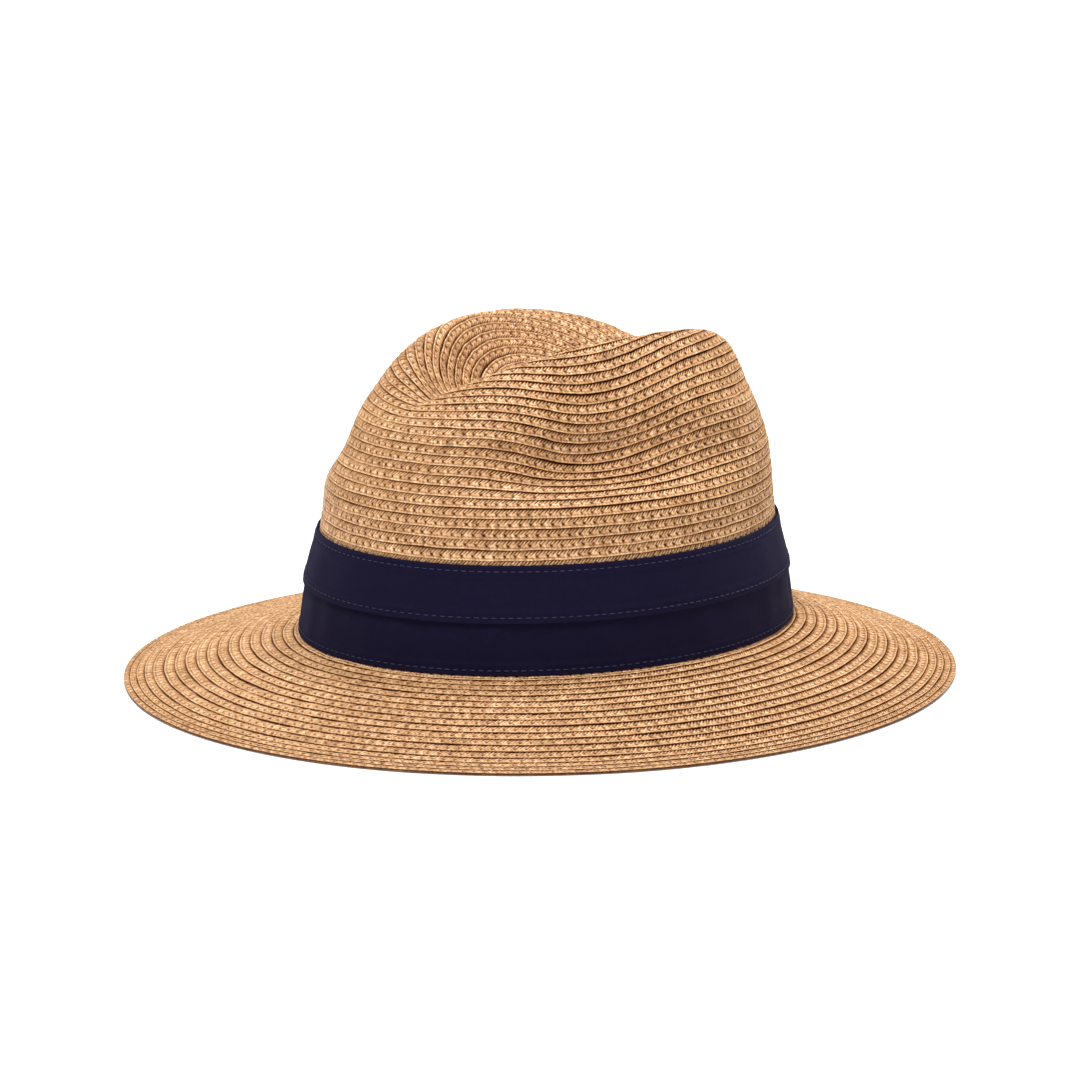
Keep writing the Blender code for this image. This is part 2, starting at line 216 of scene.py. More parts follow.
def break_surface(crown, brim):
    """The tight bend between brim and crown, under the band."""
    out = brim.at(TURNS, BEND_SHARES[0])[0][:, None]
    up = crown.at(TURNS, BEND_SHARES[1])[0][:, None]
    corner = crown.at(TURNS, 0.0)[0][:, None]
    share = np.linspace(0.0, 1.0, BEND_POINTS)[None, :, None]
    line = (1 - share) ** 2 * out + 2 * share * (1 - share) * corner + share**2 * up
    return Surface(*even_out(line, BEND_POINTS))


def turned_surface():
    """The flat underside of the rim, whose rise runs in from the edge."""
    turn = np.radians(TURNS)[:, None]
    inset = np.linspace(0.0, TURNED_WIDTH, TURNED_POINTS)[None, :]
    out = np.stack([np.sin(turn) / BRIM_HALF_WIDTH, -np.cos(turn) / BRIM_HALF_LENGTH], axis=-1)
    out /= np.linalg.norm(out, axis=-1, keepdims=True)
    x = EDGE_CENTRE[0] + BRIM_HALF_WIDTH * np.sin(turn) - out[..., 0] * inset
    y = EDGE_CENTRE[1] - BRIM_HALF_LENGTH * np.cos(turn) - out[..., 1] * inset
    return Surface(*even_out(np.stack([x, y, TURNED_HEIGHT + 0 * x], axis=-1), TURNED_POINTS))


def wall_surface():
    """The lower crown wall with rise even in height, for the strips that go round it."""
    lines = crown_lines()
    heights = np.linspace(BAND_LOW, WALL_TOP, WALL_POINTS)
    out = np.empty((len(lines), WALL_POINTS, 3))
    for k, line in enumerate(lines):
        upto = int(np.argmax(line[:, 2])) + 1
        for axis in range(3):
            out[k, :, axis] = np.interp(heights, line[:upto, 2], line[:upto, axis])
    wall = Surface(out, np.full(len(TURNS), WALL_TOP - BAND_LOW))
    turn = np.radians(TURNS)
    flat = np.stack([np.sin(turn) / BAND_OVAL[0], -np.cos(turn) / BAND_OVAL[1], 0 * turn], axis=-1)
    flat /= np.linalg.norm(flat, axis=-1, keepdims=True)
    wall.normal = np.repeat(flat[:, None, :], WALL_POINTS, axis=1)
    return wall


def wall_rise(high):
    """The wall surface's rise at a height."""
    return (high - BAND_LOW) / (WALL_TOP - BAND_LOW)


# ---------------------------------------------------------------- meshes


def add_piece(name, points, quads, surface, node, attributes=None):
    """Makes one piece from points in millimetres, which stands for a node of the frame."""
    mesh = bpy.data.meshes.new(name)
    points, quads = np.ascontiguousarray(points.reshape(-1, 3) * MM), np.ascontiguousarray(quads)
    mesh.vertices.add(len(points))
    mesh.vertices.foreach_set("co", points.astype(np.float32).ravel())
    mesh.loops.add(quads.size)
    mesh.loops.foreach_set("vertex_index", quads.astype(np.int32).ravel())
    mesh.polygons.add(len(quads))
    mesh.polygons.foreach_set("loop_start", np.arange(0, quads.size, 4, dtype=np.int32))
    mesh.update(calc_edges=True)
    mesh.validate()
    mesh.shade_smooth()
    for label, values in (attributes or {}).items():
        made = mesh.attributes.new(label, "FLOAT", "POINT")
        made.data.foreach_set("value", np.ascontiguousarray(values, dtype=np.float32).ravel())
    mesh.materials.append(surface)
    piece = bpy.data.objects.new(name, mesh)
    bpy.context.scene.collection.objects.link(piece)
    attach(piece, "root")
    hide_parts(node)
    return piece


def round_quads(columns, stations, first=0):
    """Quads of a closed section swept once round: vertex = first + station * columns + column."""
    c, k = np.meshgrid(np.arange(columns), np.arange(stations))
    cn, kn = (c + 1) % columns, (k + 1) % stations
    quads = np.stack([k * columns + c, k * columns + cn, kn * columns + cn, kn * columns + c], axis=-1)
    return quads.reshape(-1, 4) + first


# One braid row's section, in the order outer edge, top face, inner edge, underside: place in row widths
# from its outer edge, shift along the row, height, strand relief, painted shade (low on the rib, as a painted
# highlight), how much painted shade the gaps between strands get there, and the share of the holes' depth and
# painted shade
SECTION = (
    (0.035, 0.00, -0.78, 0.00, 1.00, 0.0, 0.0),
    (-0.005, 0.00, -0.24, 0.10, 0.85, 0.4, 0.0),
    (-0.008, 0.00, 0.06, 0.12, 0.50, 0.4, 0.0),
    (0.022, 0.00, 0.32, 0.07, 0.05, 0.1, 0.0),
    (0.080, 0.05, 0.40, 0.06, 0.06, 0.1, 0.0),
    (0.145, 0.15, 0.32, 0.12, 0.18, 0.3, 0.0),
    (0.205, 0.05, 0.17, 0.18, 0.30, 0.35, 0.0),
    (0.330, -0.40, 0.14, 0.16, 0.10, 0.15, 0.9),
    (0.440, -0.60, 0.10, 0.16, 0.10, 0.15, 1.0),
    (0.560, -0.35, 0.02, 0.26, 0.05, 0.4, 0.0),
    (0.720, 0.15, -0.08, 0.34, 0.06, 0.9, 0.0),
    (0.870, 0.60, -0.22, 0.40, 0.24, 1.3, 0.0),
    (0.965, 0.85, -0.44, 0.24, 0.85, 0.9, 0.0),
    (1.130, 1.00, -0.80, 0.00, 1.00, 0.0, 0.0),
    (1.000, 0.00, -1.10, 0.10, 0.45, 0.3, 0.0),
    (0.500, 0.00, -0.90, 0.12, 0.35, 0.3, 0.0),
)
STRAND_WAVE = np.array([1.0, 0.3, -1.0])  # relief across one strand, a column each
HOLE_SHAPE = np.array([1.0, 0.35, 0, 0, 0, 0, 0, 0, 0])  # and one hole in every three strands
# the holes' real depth, and the painted shade put into them
HOLE_DEPTH, HOLE_PAINTED_SHADE = 0.9, 2.4
STRAND_PITCH = 1.35
STRAND_SIZES, GAP_SIZES, HOLE_SIZES = (0.4, 1.35), (0.2, 1.2), (0.5, 1.3)  # each strand's own share
LIFT_SPREAD, NUDGE_SPREAD = 0.045, 0.09  # of a strand, up and along the row
WOBBLE_SPREAD, SWELL_SPREAD = 0.05, 0.03  # of a row, across and up, in each of these waves round it
ROW_WAVES = (2, 3, 5, 9, 14, 23, 37)
# painted shade in the valleys between strands
VALLEY_PAINTED_SHADE = 0.15
STRAND_TONE, ROW_TONE = 0.16, 0.06
ROW_MIDDLE = 0.4  # where across a row its length is measured
DENT_WIDER = 1.25  # the rows stand up a little beyond the side dents
# how much the painted shade on the face and in the holes eases on a row that stands out; its holes are
# shallower too
FACE_SHADE_EASING, HOLE_SOFTENING = 0.45, 0.35  # how much paler the face and holes of a row that stands out are
PHASE = 6.3  # a whole turn, nearly


def reach_of(line):
    """How far along a line each of its points lies."""
    return np.concatenate([[0.0], np.cumsum(np.linalg.norm(np.diff(line, axis=0), axis=1))])


def braid_row(surface, rise, width, base_height, flatten=1.0, steps=(1.0, 1.0)):
    """One closed row of braid: its points, their painted shade and tone, and its quads.

    rise and width are shares of the surface's rise. flatten squeezes the whole section. steps are how
    far the row stands over the one outside it, away from the side dents and in them.
    """
    reach = reach_of(surface.at(TURNS, rise + ROW_MIDDLE * width)[0])
    per_strand, cell = len(STRAND_WAVE), len(HOLE_SHAPE)
    cells = max(int(round(reach[-1] / (STRAND_PITCH * cell / per_strand))), 3)
    columns, strands = cells * cell, cells * cell // per_strand
    column = np.arange(columns)
    strand = column // per_strand
    wave = STRAND_WAVE[column % per_strand]
    size = rng.uniform(*STRAND_SIZES, strands)[strand]
    lift = rng.normal(0.0, LIFT_SPREAD, strands)[strand]
    nudge = rng.normal(0.0, NUDGE_SPREAD, strands)[strand]
    # painted shade in the gap after each strand and in the valleys between strands
    gap = (wave == STRAND_WAVE.min()) * rng.uniform(*GAP_SIZES, strands)[strand]
    valley_shade = (wave < STRAND_WAVE.max()) * VALLEY_PAINTED_SHADE
    hole = HOLE_SHAPE[column % cell] * rng.uniform(*HOLE_SIZES, cells)[column // cell]
    strand_tone = rng.normal(0.0, 1.0, strands)[strand]
    row_tone = rng.normal(0.0, 1.0)
    seam = rng.uniform(0.0, reach[-1])
    turn = 2 * math.pi * column / columns
    wobble, swell = np.zeros(columns), np.zeros(columns)
    for harmonic in ROW_WAVES:
        wobble += rng.normal(0.0, WOBBLE_SPREAD) * np.sin(harmonic * turn + rng.uniform(0, PHASE))
        swell += rng.normal(0.0, SWELL_SPREAD) * np.sin(harmonic * turn + rng.uniform(0, PHASE))
    points, painted_shade = [], []
    for place, shift, height, relief, painted_shade_level, gap_painted_shade, holes in SECTION:
        along = (column * reach[-1] / columns + shift + nudge + seam) % reach[-1]
        turns = np.interp(along, reach, TURNS)
        stand = steps[0] + (steps[1] - steps[0]) * dent(turns, DENT_WIDER * PINCH_SPREAD)
        where, normal = surface.at(turns, rise + place * width + wobble / surface.usual)
        over = height
        if place < 0.3 and height > -0.3:  # the rounded outer edge
            over = (height - 0.1) * stand + 0.1
        elif place > 0.6 and height > -0.5:  # the inner side, which dips under the next row
            over = height * (0.2 + 0.8 * stand)
        sharp = np.clip((stand - 0.5) / 0.55, 0.0, 1.0)  # 0 where rows lie nearly flush
        plain = 1.0 - FACE_SHADE_EASING * sharp if 0.1 < place < 0.65 else 1.0
        pit = holes * hole * (1.0 - HOLE_SOFTENING * sharp)
        high = over + relief * wave * size + lift * (relief > 0.1) + swell - HOLE_DEPTH * pit
        # painted shade in the grooves, under the row's edges, between strands and in the holes, stronger
        # where a row stands out; where it is low, as on the rib and strand tops, the straw takes a painted
        # highlight
        shade = (painted_shade_level + gap_painted_shade * gap) * plain * (0.1 + 0.9 * stand)
        shade = shade + valley_shade * (relief > 0.17) + HOLE_PAINTED_SHADE * pit
        points.append(where + normal * (base_height + high * flatten)[:, None])
        painted_shade.append(np.clip(shade, 0.0, 1.0))
    tone = np.tile(0.5 + STRAND_TONE * strand_tone + ROW_TONE * row_tone, len(SECTION))
    return np.concatenate(points), np.concatenate(painted_shade), tone, round_quads(columns, len(SECTION))


def braid_pieces(stem, surface, rows, groups, material, node):
    """Makes the rows, joined a few to a piece. rows hold braid_row's values after its surface."""
    bounds = np.linspace(0, len(rows), groups + 1).round().astype(int)
    for group, (low, high) in enumerate(zip(bounds[:-1], bounds[1:])):
        parts = [braid_row(surface, *row) for row in rows[low:high]]
        first, quads = 0, []
        for points, _, _, faces in parts:
            quads.append(faces + first)
            first += len(points)
        points, painted_shade, tone = (np.concatenate([part[k] for part in parts]) for k in range(3))
        attributes = {"painted_shade": painted_shade, "tone": tone}
        name = f"{stem}_{group + 1}"
        add_piece(name, points, np.concatenate(quads), material, node, attributes)


# ---------------------------------------------------------------- materials


WHITE = (1.0, 1.0, 1.0)


class Shader:
    """A material's node tree, with short ways to add nodes."""

    def __init__(self, name, roughness, specular=0.5, metallic=0.0):
        self.material = bpy.data.materials.new(name)
        self.material.use_nodes = True
        self.tree = self.material.node_tree
        self.out = self.tree.nodes["Principled BSDF"]
        self.out.inputs["Roughness"].default_value = roughness
        self.out.inputs["Specular IOR Level"].default_value = specular
        self.out.inputs["Metallic"].default_value = metallic

    def add(self, kind, inputs=(), **settings):
        """A new node. An input is a value, or a socket to link."""
        node = self.tree.nodes.new(kind)
        for key, value in settings.items():
            setattr(node, key, value)
        for key, value in dict(inputs).items():
            if isinstance(value, bpy.types.NodeSocket):
                self.tree.links.new(value, node.inputs[key])
            else:
                node.inputs[key].default_value = value
        return node

    def attribute(self, name):
        return self.add("ShaderNodeAttribute", attribute_name=name).outputs["Fac"]

    def place(self):
        return self.add("ShaderNodeTexCoord").outputs["Object"]

    def noise(self, scale, detail):
        inputs = {"Vector": self.place(), "Scale": scale, "Detail": detail}
        return self.add("ShaderNodeTexNoise", inputs).outputs["Fac"]

    def math(self, operation, a, b=0.0, clamp=False):
        return self.add("ShaderNodeMath", {0: a, 1: b}, operation=operation, use_clamp=clamp).outputs[0]

    def ramp(self, factor, *stops):
        node = self.add("ShaderNodeValToRGB", {"Fac": factor})
        ramp = node.color_ramp
        while len(ramp.elements) < len(stops):
            ramp.elements.new(0.5)
        for element, (place, colour) in zip(ramp.elements, stops):
            element.position, element.color = place, (*colour, 1.0)
        return node.outputs["Color"]

    def mix(self, factor, a, b, blend="MIX"):
        node = self.add("ShaderNodeMix", data_type="RGBA", blend_type=blend)
        for key, value in ((0, factor), (6, a), (7, b)):
            if isinstance(value, bpy.types.NodeSocket):
                self.tree.links.new(value, node.inputs[key])
            elif key == 0:
                node.inputs[key].default_value = value
            else:
                node.inputs[key].default_value = (*value, 1.0)
        return node.outputs[2]

    def remap(self, value, low, high):
        inputs = {"Value": value, "To Min": low, "To Max": high}
        return self.add("ShaderNodeMapRange", inputs).outputs["Result"]

    def sway(self, value, size):
        """How far a noise value is from its middle, times size."""
        return self.math("MULTIPLY", self.math("SUBTRACT", value, 0.5), size)

    def colour(self, socket):
        self.tree.links.new(socket, self.out.inputs["Base Color"])

    def rough(self, socket):
        self.tree.links.new(socket, self.out.inputs["Roughness"])

    def bump(self, height, distance, strength):
        node = self.add("ShaderNodeBump", {"Height": height, "Distance": distance, "Strength": strength})
        self.tree.links.new(node.outputs["Normal"], self.out.inputs["Normal"])


def straw_material():
    """Paper straw: pale strands that redden and darken into the grooves and holes as painted shade, with a
    painted highlight on ribs and strand tops.
    """
    made = Shader("woven_straw", 0.42, 0.22)
    painted_shade, tone = made.attribute("painted_shade"), made.attribute("tone")
    fibre = made.noise(900.0, 2.0)
    patch = made.noise(28.0, 3.0)
    # painted shade (plus fibre noise) to colour: the palest stop is a painted highlight on ribs and strand
    # tops, and the darker stops are painted shade in grooves, gaps and holes
    body = made.ramp(
        made.math("ADD", painted_shade, made.sway(fibre, 0.5), clamp=True),
        (0.0, (0.73, 0.478, 0.280)),
        (0.16, (0.465, 0.246, 0.103)),
        (0.42, (0.25, 0.094, 0.023)),
        (0.70, (0.115, 0.033, 0.006)),
        (1.0, (0.060, 0.014, 0.002)),
    )
    # random tone of each strand and row, whose pale end is also whitened as a painted highlight
    tone_and_painted_highlight = made.ramp(tone, (0.1, (0.68, 0.62, 0.56)), (0.5, WHITE), (0.9, (1.28, 1.38, 1.52)))
    drift = made.ramp(patch, (0.3, (0.95, 0.93, 0.91)), (0.7, (1.04, 1.05, 1.06)))
    made.colour(made.mix(1.0, made.mix(1.0, body, tone_and_painted_highlight, "MULTIPLY"), drift, "MULTIPLY"))
    made.rough(made.remap(fibre, 0.34, 0.58))
    made.bump(made.noise(1500.0, 3.0), 0.00012, 0.6)
    return made.material


def cloth_material(name, base, highlight, thread_mm, roughness, sheen, edge_gain, specular=0.25):
    """A plain weave over the strip's own run and height, both in millimetres.

    edge_gain is how much paler or darker the strip's edges are.
    """
    made = Shader(name, roughness, specular)
    run, high, edge = made.attribute("run"), made.attribute("high"), made.attribute("edge")
    turn = 2 * math.pi / thread_mm
    warp = made.math("SINE", made.math("MULTIPLY", run, turn))
    weft = made.math("SINE", made.math("MULTIPLY", high, turn))
    weave = made.math("MULTIPLY", warp, weft)
    slub = made.noise(420.0, 3.0)
    patch = made.noise(22.0, 3.0)
    mixed = made.math("ADD", made.remap(weave, 0.42, 0.58), made.sway(slub, 0.9))
    mixed = made.math("ADD", mixed, made.sway(patch, 0.35), clamp=True)
    body = made.mix(mixed, base, highlight)
    # the strip's edges made paler or darker by edge_gain
    edge_tint = made.ramp(edge, (0.0, WHITE), (1.0, (edge_gain, edge_gain, edge_gain)))
    made.colour(made.mix(1.0, body, edge_tint, "MULTIPLY"))
    made.rough(made.remap(slub, roughness - 0.1, min(roughness + 0.1, 1.0)))
    made.bump(made.math("ADD", weave, slub), 0.00006, 0.7)
    made.out.inputs["Sheen Weight"].default_value = sheen
    made.out.inputs["Sheen Roughness"].default_value = 0.5
    return made.material


def thread_material(name, base, highlight):
    """Thread whose fine mottling stands for its twisted plies."""
    roughness = 0.6
    made = Shader(name, roughness, 0.4)
    twist = made.noise(2600.0, 2.0)
    made.colour(made.mix(made.ramp(twist, (0.35, (0, 0, 0)), (0.65, WHITE)), base, highlight))
    made.rough(made.remap(twist, roughness - 0.12, roughness + 0.12))
    made.bump(twist, 0.00006, 0.5)
    return made.material


def steel_material():
    made = Shader("drawn_steel_wire", 0.35, 0.5, 1.0)
    lines = made.noise(350.0, 4.0)
    made.colour(made.ramp(lines, (0.3, (0.42, 0.42, 0.43)), (0.7, (0.62, 0.62, 0.62))))
    made.rough(made.remap(lines, 0.25, 0.5))
    made.bump(lines, 0.00002, 0.4)
    return made.material


# ---------------------------------------------------------------- braid


CROWN_ROWS = 46
DENT_ROW, RIDGE_ROW = 15, 26  # the first rows in the side dents and over the ridge
# how far a row stands over the last, before and from those rows: away from the dents, and in them
WALL_STEPS, DENT_STEPS = (0.42, 0.85), (0.55, 1.15)
ROW_JITTER = 0.03
ROW_BASE, BRIM_ROW_BASE, TURNED_ROW_BASE = -0.30, -0.34, -0.04
TWO_ROWS = (0.02, 0.49)  # rises of the rows of a surface that holds two
HALF_ROW = 0.47
BRIM_NARROW_ROWS = (2.5, 2.7, 3.0, 3.5)  # widths in from the edge; the others share the rest
BRIM_WIDE_ROWS = 14
CROWN_PIECES, BRIM_PIECES = 9, 7
EDGE_FLATTEN, FLATTEN_STEP = 0.45, 0.11  # the brim's outer rows are pressed flat


def build_braid(crown, brim, straw):
    """The rows of the crown, of the bend and of the brim."""
    rows = []
    for k in range(CROWN_ROWS):
        rise = (k + rng.uniform(-ROW_JITTER, ROW_JITTER) * (k > 0)) / CROWN_ROWS
        steps = (WALL_STEPS[k >= RIDGE_ROW], DENT_STEPS[k >= DENT_ROW])
        rows.append((rise, 1.0 / CROWN_ROWS, ROW_BASE, 1.0, steps))
    braid_pieces("crown_rows", crown, rows, CROWN_PIECES, straw, "crown_braid")
    rows = [(rise, HALF_ROW, ROW_BASE, 1.0) for rise in TWO_ROWS]
    braid_pieces("break_rows", break_surface(crown, brim), rows, 1, straw, "crown_braid")
    across = float(np.interp(0.0, TURNS, brim.length))
    widths = list(BRIM_NARROW_ROWS)
    widths += [(across - sum(BRIM_NARROW_ROWS)) / BRIM_WIDE_ROWS] * BRIM_WIDE_ROWS
    rows, reached = [], 0.0
    for k, width in enumerate(widths):
        flatten = min(EDGE_FLATTEN + FLATTEN_STEP * k, 1.0)
        rows.append((reached / across, width / across, BRIM_ROW_BASE, flatten))
        reached += width
    braid_pieces("brim_rows", brim, rows, BRIM_PIECES, straw, "brim_braid")


def build_crown_middle(crown, straw):
    """The first turn of the braid, which fills the oval that the innermost row leaves."""
    columns = 36
    edge = crown.at(np.arange(columns) * 360.0 / columns, np.full(columns, 0.985))[0]
    centre = edge.mean(axis=0)
    # share of the oval, height and painted shade: over the top to the middle, then back under
    rings = (
        (1.0, -0.5, 0.8),
        (0.98, 0.0, 0.3),
        (0.7, 0.18, 0.05),
        (0.35, 0.1, 0.2),
        (0.06, 0.05, 0.5),
        (0.06, -0.8, 0.5),
        (0.6, -0.8, 0.6),
    )
    points = [centre + (edge - centre) * share + np.array([0, 0, lift]) for share, lift, _ in rings]
    painted_shade = np.repeat([painted_shade_level for _, _, painted_shade_level in rings], columns)
    attributes = {"painted_shade": painted_shade, "tone": np.full(len(painted_shade), 0.5)}
    quads = round_quads(columns, len(rings))
    add_piece(
        "crown_first_turn", np.concatenate(points), quads, straw, "crown_braid", attributes
    )


def build_turned_edge(straw):
    rows = [(rise, HALF_ROW, TURNED_ROW_BASE, flatten) for rise, flatten in zip(TWO_ROWS, (0.34, 0.30))]
    braid_pieces("turned_edge_rows", turned_surface(), rows, 1, straw, "brim_edge_braid")


# ---------------------------------------------------------------- cloth and thread

STITCH_PITCH, STITCH_FILL = 3.1, 0.74
STITCH_SIDES = 8
STITCH_SPOTS = np.linspace(-0.5, 0.5, 9)  # places along one stitch
BAND_STITCH_HEIGHTS = (20.6, 40.2, 56.8)
SWEAT_STITCH_HEIGHT = 21.5
HEM_WIDTH = 4.8
END_GAP = 0.4  # half of what is left between a strip's ends
STRIP_WAVES = (5, 9, 13, 19, 29, 43)
STRIP_CUTS = 1441
EDGE_CUTS = np.array([0.0, 0.04, 0.12, 0.25, 0.45])  # millimetres from a strip's edge
FACE_INSET, FACE_STEP = 0.8, 0.42
TAB_HALF_ANGLE = 3.78
TAPE_HALF_WIDTH, LABEL_HALF_WIDTH = 5.0, 8.0
CLOTH_THICK, SWEAT_THICK = 0.7, 0.8


class Strip:
    """A cloth strip on the crown wall, once round with its ends at the back, or half to each side of
    the middle.

    inside is how far its inner face stands off the wall, lean moves its foot out, belly its middle.
    Each of stitches is a height at which thread pulls it in. ripple is how uneven it is. hem_low and
    hem_top are how thick its hems are, side_drop is how far its ends drop towards the wall, and tuck
    is a height and how far it drops below it. side is -1 on the inside of the wall.
    """

    def __init__(
        self,
        wall,
        low,
        top,
        inside,
        thick,
        middle=180.0,
        half=None,
        lean=0.0,
        belly=0.0,
        stitches=(),
        ripple=0.1,
        hem_low=0.0,
        hem_top=0.0,
        side=1.0,
        side_drop=0.0,
        tuck=(0.0, 0.0),
    ):
        self.wall, self.low, self.top, self.inside, self.thick = wall, low, top, inside, thick
        self.lean, self.belly, self.stitches, self.side = lean, belly, stitches, side
        self.hem_low, self.hem_top, self.side_drop, self.tuck = hem_low, hem_top, side_drop, tuck
        gap = math.degrees(END_GAP / BAND_OVAL[1])
        start, end = (middle + gap, middle + 360.0 - gap) if half is None else (middle - half, middle + half)
        self.fine = np.linspace(start, end, STRIP_CUTS)
        self.reach = reach_of(wall.at(self.fine, wall_rise(0.5 * (low + top)))[0])
        self.length = self.reach[-1]
        self.waves = [
            (rng.normal(0, 0.5) * ripple, harmonic, rng.uniform(0, PHASE), rng.uniform(-2.5, 2.5))
            for harmonic in STRIP_WAVES
        ]

    def offset(self, run, high, out):
        """How far the outer or inner face stands off the wall."""
        share = (high - self.low) / (self.top - self.low)
        near = np.minimum(high - self.low, self.top - high)
        bend = self.thick / 2
        inset = bend - np.sqrt(np.maximum(0.0, bend**2 - np.maximum(0.0, bend - near) ** 2))
        loose = np.sin(np.pi * np.clip(share, 0.0, 1.0))
        off = self.inside + self.lean * (1 - share) + self.belly * loose**0.7
        turn = np.interp(run, self.reach, np.radians(self.fine))
        for size, harmonic, phase, tilt in self.waves:
            off = off + size * loose * np.sin(harmonic * turn + phase + tilt * share)
        if self.tuck[1]:
            off = off - self.tuck[1] / (1 + np.exp((high - self.tuck[0]) / 0.5))
        if self.side_drop:
            off = off - self.side_drop * np.abs(2 * run / self.length - 1) ** 8
        if not out:
            return off + inset
        off = off + self.thick - inset
        off = off + self.hem_low / (1 + np.exp((high - self.low - HEM_WIDTH) / 0.2))
        off = off + self.hem_top / (1 + np.exp((self.top - high - HEM_WIDTH) / 0.2))
        for stitch in self.stitches:
            pucker = 0.6 + 0.4 * np.cos(2 * np.pi * run / (self.length / int(self.length / STITCH_PITCH)))
            off = off - 0.20 * np.exp(-(((high - stitch) / 0.6) ** 2)) * pucker
        return off

    def face(self, run, high, out=True):
        """Points of the outer or inner face and the direction that it faces."""
        run, high = np.broadcast_arrays(run, high)
        where, normal = self.wall.at(np.interp(run, self.reach, self.fine), wall_rise(high))
        return where + normal * (self.side * self.offset(run, high, out))[..., None], normal * self.side

    def mesh(self, name, surface, slot, node, step=0.8):
        """Makes the strip as one closed piece, with a column of points every step."""
        height = self.top - self.low
        cuts = max(int((height - 2 * FACE_INSET) / FACE_STEP), 4)
        inner = np.linspace(FACE_INSET, height - FACE_INSET, cuts)
        face = self.low + np.concatenate([EDGE_CUTS, inner, height - EDGE_CUTS[::-1]])
        columns = max(int(self.length / step), 12)
        run = np.linspace(0.0, self.length, columns)
        rows = len(face)
        outer = self.face(run[None, :], face[:, None], True)[0]
        back = self.face(run[None, :], face[::-1, None], False)[0]
        points = np.concatenate([outer, back])
        index = np.arange(2 * rows * columns).reshape(2 * rows, columns)
        after = np.roll(index, -1, axis=0)
        quads = np.stack([index[:, :-1], index[:, 1:], after[:, 1:], after[:, :-1]], axis=-1)
        quads = quads.reshape(-1, 4)
        near, far = index[:rows], index[::-1][:rows]
        caps = np.stack([near[:-1], near[1:], far[1:], far[:-1]], axis=-1)
        quads = np.concatenate([quads, caps[:, 0], caps[:, -1][:, ::-1]])
        if self.side < 0:
            quads = quads[:, ::-1]
        high = np.concatenate([face, face[::-1]])[:, None]
        border = np.exp(-np.minimum(high - self.low, self.top - high) / 0.5)
        shape = (2 * rows, columns)
        attributes = {
            "run": np.broadcast_to(run[None, :], shape),
            "high": np.broadcast_to(high, shape),
            "edge": np.broadcast_to(border, shape),
        }
        return add_piece(name, points, quads, surface, node, attributes)


def dashes(name, line, length, surface, node, radius=0.20, lift=0.10, sink=0.30):
    """A row of stitches, each a short tube whose ends sink into the cloth.

    line gives points and outward directions for distances along it.
    """
    count = int(length / STITCH_PITCH)
    spot = STITCH_SPOTS
    long = STITCH_FILL * length / count * rng.uniform(0.93, 1.05, (count, 1))
    run = (np.arange(count)[:, None] + 0.5) * length / count + spot * long
    where, out = line(run)
    along = np.gradient(where, axis=1)
    along /= np.linalg.norm(along, axis=-1, keepdims=True)
    across = np.cross(out, along)
    rise = lift - (lift + sink) * np.abs(2 * spot) ** 3.5
    size = radius * (1 - 0.4 * np.abs(2 * spot) ** 4)
    rings = []
    for k in range(STITCH_SIDES):
        turn = 2 * math.pi * k / STITCH_SIDES
        up, aside = (rise + size * math.cos(turn))[:, None], (size * math.sin(turn))[:, None]
        rings.append(where + out * up + across * aside)
    points = np.stack(rings, axis=2)
    index = np.arange(points[..., 0].size).reshape(count, len(spot), STITCH_SIDES)
    after = np.roll(index, -1, axis=2)
    tube = np.stack([index[:, :-1], index[:, 1:], after[:, 1:], after[:, :-1]], axis=-1)
    quads = [tube.reshape(-1, 4)]
    for corners in ((0, 1, 2, 3), (0, 3, 4, 7), (4, 5, 6, 7)):  # each end of a tube is an octagon
        quads.append(index[:, 0, list(corners)])
        quads.append(index[:, -1, list(corners[::-1])])
    add_piece(name, points, np.concatenate(quads), surface, node)


def build_band(wall):
    cloth = cloth_material(
        "navy_cotton", (0.0036, 0.0026, 0.0142), (0.0080, 0.0060, 0.0245), 0.55, 0.85, 0.03, 1.3, 0.08
    )
    cloth.node_tree.nodes["Principled BSDF"].inputs["Sheen Tint"].default_value = (0.35, 0.35, 0.9, 1.0)
    thread = thread_material("navy_thread_lustre", (0.010, 0.010, 0.038), (0.022, 0.023, 0.075))
    low, middle, top = BAND_STITCH_HEIGHTS
    tier = {"inside": 0.34, "thick": CLOTH_THICK, "belly": 0.25, "ripple": 0.16}
    lower = Strip(wall, BAND_LOW, LOWER_TIER_TOP, stitches=(low,), hem_low=0.22, **tier)
    upper = Strip(
        wall, UPPER_TIER_LOW, BAND_TOP, lean=1.0, stitches=(middle, top), hem_low=0.26, hem_top=0.2, **tier
    )
    lower_piece = lower.mesh("band_lower_tier", cloth, "navy_cloth", "hat_band_lower")
    upper_piece = upper.mesh("band_upper_tier", cloth, "navy_cloth", "hat_band_upper")
    for name, strip, height, node in (
        ("stitches_low", lower, low, "band_bottom_stitching"),
        ("stitches_middle", upper, middle, "band_middle_stitching"),
        ("stitches_top", upper, top, "band_top_stitching"),
    ):
        dashes(name, lambda run: strip.face(run, height), strip.length, thread, node)
    tab = Strip(
        wall,
        BAND_LOW + 0.4,
        BAND_TOP - 0.4,
        inside=2.45,
        thick=0.75,
        half=TAB_HALF_ANGLE,
        side_drop=1.0,
        ripple=0.05,
        tuck=(UPPER_TIER_LOW, 0.95),
        lean=0.1,
    )
    tab_piece = tab.mesh("band_join_loop", cloth, "navy_cloth", "band_join_tab", step=0.3)


